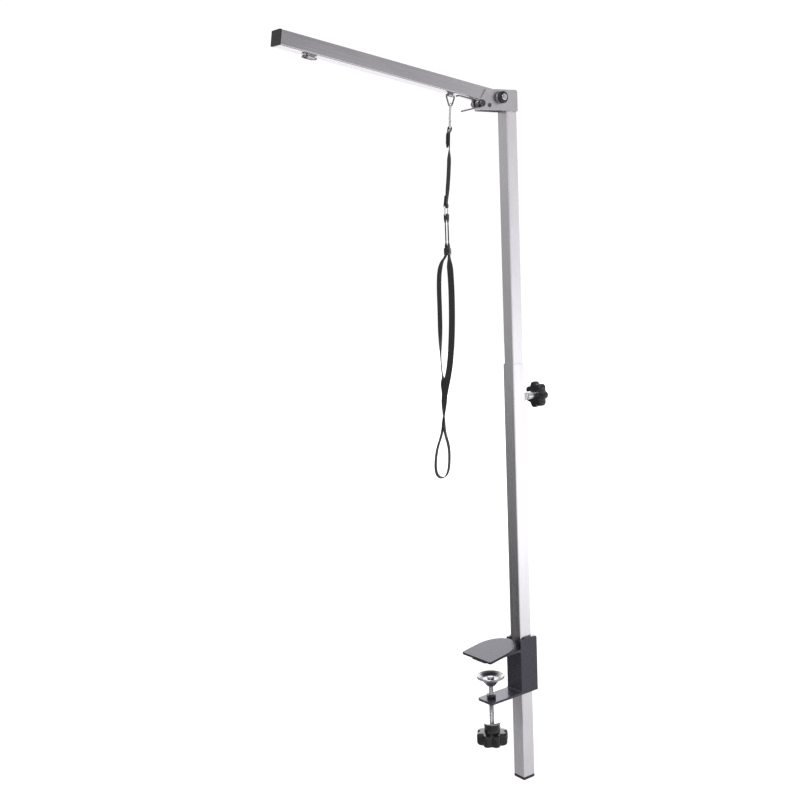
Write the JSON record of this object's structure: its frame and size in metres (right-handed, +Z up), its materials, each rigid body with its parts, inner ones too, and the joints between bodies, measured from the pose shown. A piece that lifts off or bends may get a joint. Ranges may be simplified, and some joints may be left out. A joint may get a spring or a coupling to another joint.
{
  "type": "clamp-on grooming arm",
  "caption": "Clamp-on pet grooming arm: table clamp, telescoping square post, folding overhead arm and a hanging adjustable webbing noose.",
  "frame": {"origin": "centre of the clamp's upper jaw face, straight above the clamp screw", "axes": "+Z up along the post, -X the way the arm points, Y across the post"},
  "size_m": [0.4867, 0.0765, 1.212],
  "materials": {
    "zinc_plate": "plated sheet steel with a fine speckle",
    "tube_chrome": "satin-bright plated steel tube",
    "bright_zinc": "bright zinc-plated",
    "black_paint": "gloss black enamel on plate",
    "black_plastic": "moulded, glossy black",
    "black_cap": "moulded, satin black",
    "weld": "plated over weld bead",
    "spring_wire": "drawn wire, dull plated",
    "hook_metal": "nickel-plated die casting",
    "webbing": "woven nylon webbing, matte black"
  },
  "bodies": {
    "base": {"clamp_channel": "black_paint", "top_plate": "black_paint", "jaw_nut": "black_paint", "weld_beads": "weld", "outer_tube": "tube_chrome", "bottom_cap": "black_cap", "lock_nut": "bright_zinc"},
    "mast": {"inner_tube": "tube_chrome", "guide_plug": "black_cap", "bracket": "zinc_plate", "mast_weld": "weld", "rest_rivet": "bright_zinc", "rest_sleeve": "bright_zinc", "hinge_bolt": "bright_zinc", "hinge_nut": "bright_zinc", "arm_nut": "bright_zinc"},
    "arm": {"arm_tube": "tube_chrome", "arm_end_cap": "black_cap", "hinge_lug": "zinc_plate", "hinge_spring": "spring_wire", "noose_saddle": "zinc_plate", "spare_saddle": "zinc_plate"},
    "arm_washer": {"arm_washer": "bright_zinc"},
    "arm_clamp": {"arm_wheel": "black_plastic", "arm_bolt": "bright_zinc"},
    "screw_stud": {"pad_stud": "bright_zinc"},
    "screw": {"clamp_screw": "bright_zinc", "knob_collar": "bright_zinc", "clamp_knob": "black_plastic"},
    "pad": {"clamp_pad": "bright_zinc"},
    "lock_shoe": {"lock_shoe": "bright_zinc"},
    "lock": {"lock_screw": "bright_zinc", "lock_knob": "black_plastic"},
    "noose_eye": {"noose_eye": "spring_wire"},
    "spare_eye": {"spare_eye": "spring_wire"},
    "noose": {"snap_hook": "hook_metal", "upper_strap": "webbing", "strap_tab": "webbing", "strap_link": "hook_metal", "noose_loop": "webbing"},
    "hook_gate": {"hook_gate": "hook_metal"},
    "noose_slider": {"noose_slider": "black_plastic"}
  },
  "joints": [
    {"name": "mast_slide", "type": "slide", "parent": "base", "child": "mast", "axis": [0, 0, 1], "range_m": [-0.25, 0.06]},
    {"name": "arm_fold", "type": "hinge", "parent": "mast", "child": "arm", "pos_m": [-0.0045, 0, 0.894], "axis": [0, -1, 0], "range_deg": [0, 99]},
    {"name": "arm_clamp_travel", "type": "slide", "parent": "mast", "child": "arm_washer", "axis": [0, -1, 0], "range_m": [0, 0.0015]},
    {"name": "arm_clamp_turn", "type": "hinge", "parent": "arm_washer", "child": "arm_clamp", "pos_m": [0.04553, 0, 0.90588], "axis": [0, -1, 0], "range_deg": [0, 432]},
    {"name": "screw_travel", "type": "slide", "parent": "base", "child": "screw_stud", "axis": [0, 0, 1], "range_m": [-0.0135, 0.0285]},
    {"name": "screw_turn", "type": "hinge", "parent": "screw_stud", "child": "screw", "pos_m": [0, 0, -0.1], "axis": [0, 0, 1], "range_deg": [-3888, 8208]},
    {"name": "pad_tilt", "type": "hinge", "parent": "screw_stud", "child": "pad", "pos_m": [0, 0, -0.039], "axis": [0, 1, 0], "range_deg": [-5, 5]},
    {"name": "lock_travel", "type": "slide", "parent": "base", "child": "lock_shoe", "axis": [1, 0, 0], "range_m": [0, 0.005]},
    {"name": "lock_turn", "type": "hinge", "parent": "lock_shoe", "child": "lock", "pos_m": [0.1, 0, 0.4265], "axis": [1, 0, 0], "range_deg": [0, 1440]},
    {"name": "eye_swing", "type": "hinge", "parent": "arm", "child": "noose_eye", "pos_m": [-0.04668, 0, 0.90688], "axis": [-0.9874, 0, 0.1582], "range_deg": [-30, 30]},
    {"name": "spare_swing", "type": "hinge", "parent": "arm", "child": "spare_eye", "pos_m": [-0.30044, 0, 0.94752], "axis": [-0.9874, 0, 0.1582], "range_deg": [0, 180]},
    {"name": "noose_hang", "type": "hinge", "parent": "noose_eye", "child": "noose", "pos_m": [-0.04707, 0, 0.89422], "axis": [0, -1, 0], "range_deg": [-99, 0]},
    {"name": "gate_open", "type": "hinge", "parent": "noose", "child": "hook_gate", "pos_m": [-0.05128, -0.00547, 0.86657], "axis": [-0.7923, 0.6101, 0], "range_deg": [0, 25], "stiffness_Nm_per_rad": 0.02, "springref_deg": -11.46},
    {"name": "slider_travel", "type": "slide", "parent": "noose", "child": "noose_slider", "axis": [0, 0, 1], "range_m": [0, 0.045]}
  ],
  "couplings": [
    {"joint": "screw_travel", "follows": "screw_turn", "m_per_rad": 0.00019894},
    {"joint": "arm_clamp_turn", "follows": "arm_clamp_travel", "rad_per_m": 5026.5},
    {"joint": "lock_travel", "follows": "lock_turn", "m_per_rad": 0.00019894},
    {"joint": "noose_hang", "follows": "arm_fold", "ratio": -1}
  ]
}
